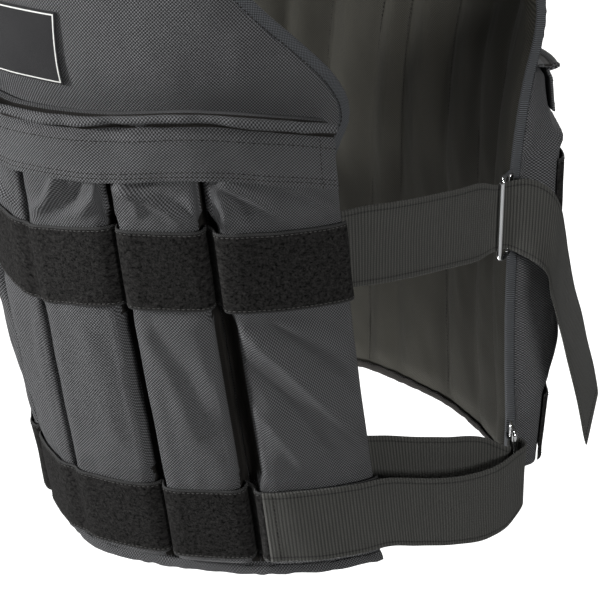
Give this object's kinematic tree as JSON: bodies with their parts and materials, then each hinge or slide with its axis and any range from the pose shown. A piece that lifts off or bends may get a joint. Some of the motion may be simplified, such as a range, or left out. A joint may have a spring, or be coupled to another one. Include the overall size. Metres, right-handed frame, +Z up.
{
  "type": "weighted vest",
  "caption": "Pullover weighted vest in worn form: padded front and back panels with filled pockets, flaps, loop tape, shoulder straps and side straps through wire rings.",
  "frame": {"origin": "the seat on the shoulders: the underside of the shoulder straps' inner edges, midway between front and back, on the vest's middle plane", "axes": "+X to the wearer's left, -Y to the front, +Z up"},
  "size_m": [0.4014, 0.3586, 0.543],
  "materials": {
    "cloth": "coarse dark grey nylon",
    "lining": "fine dark grey lining over wadding",
    "loop_tape": "fuzzy near-black loop pile",
    "binding": "narrow ribbed black tape",
    "label": "smooth black satin",
    "webbing": "ribbed charcoal webbing",
    "ring_wire": "polished"
  },
  "bodies": {
    "root": {"front_panel": "lining", "back_panel": "lining", "front_flap": "cloth", "back_flap": "cloth", "front_hem_tape": "binding", "back_hem_tape": "binding", "front_upper_loop_tape": "loop_tape", "back_upper_loop_tape": "loop_tape", "front_lower_loop_tape": "loop_tape", "back_lower_loop_tape": "loop_tape", "label_patch": "label", "front_pocket_left_inner": "cloth", "front_pocket_left_middle": "cloth", "front_pocket_left_outer": "cloth", "front_pocket_right_inner": "cloth", "front_pocket_right_middle": "cloth", "front_pocket_right_outer": "cloth", "back_pocket_left_inner": "cloth", "back_pocket_left_middle": "cloth", "back_pocket_left_outer": "cloth", "back_pocket_right_inner": "cloth", "back_pocket_right_middle": "cloth", "back_pocket_right_outer": "cloth", "shoulder_strap_left": "cloth", "upper_side_strap_left": "webbing", "upper_ring_left": "ring_wire", "upper_ring_tab_left": "binding", "lower_side_strap_left": "webbing", "lower_ring_left": "ring_wire", "lower_ring_tab_left": "binding", "shoulder_strap_right": "cloth", "upper_side_strap_right": "webbing", "upper_ring_right": "ring_wire", "upper_ring_tab_right": "binding", "lower_side_strap_right": "webbing", "lower_ring_right": "ring_wire", "lower_ring_tab_right": "binding"}
  },
  "joints": []
}
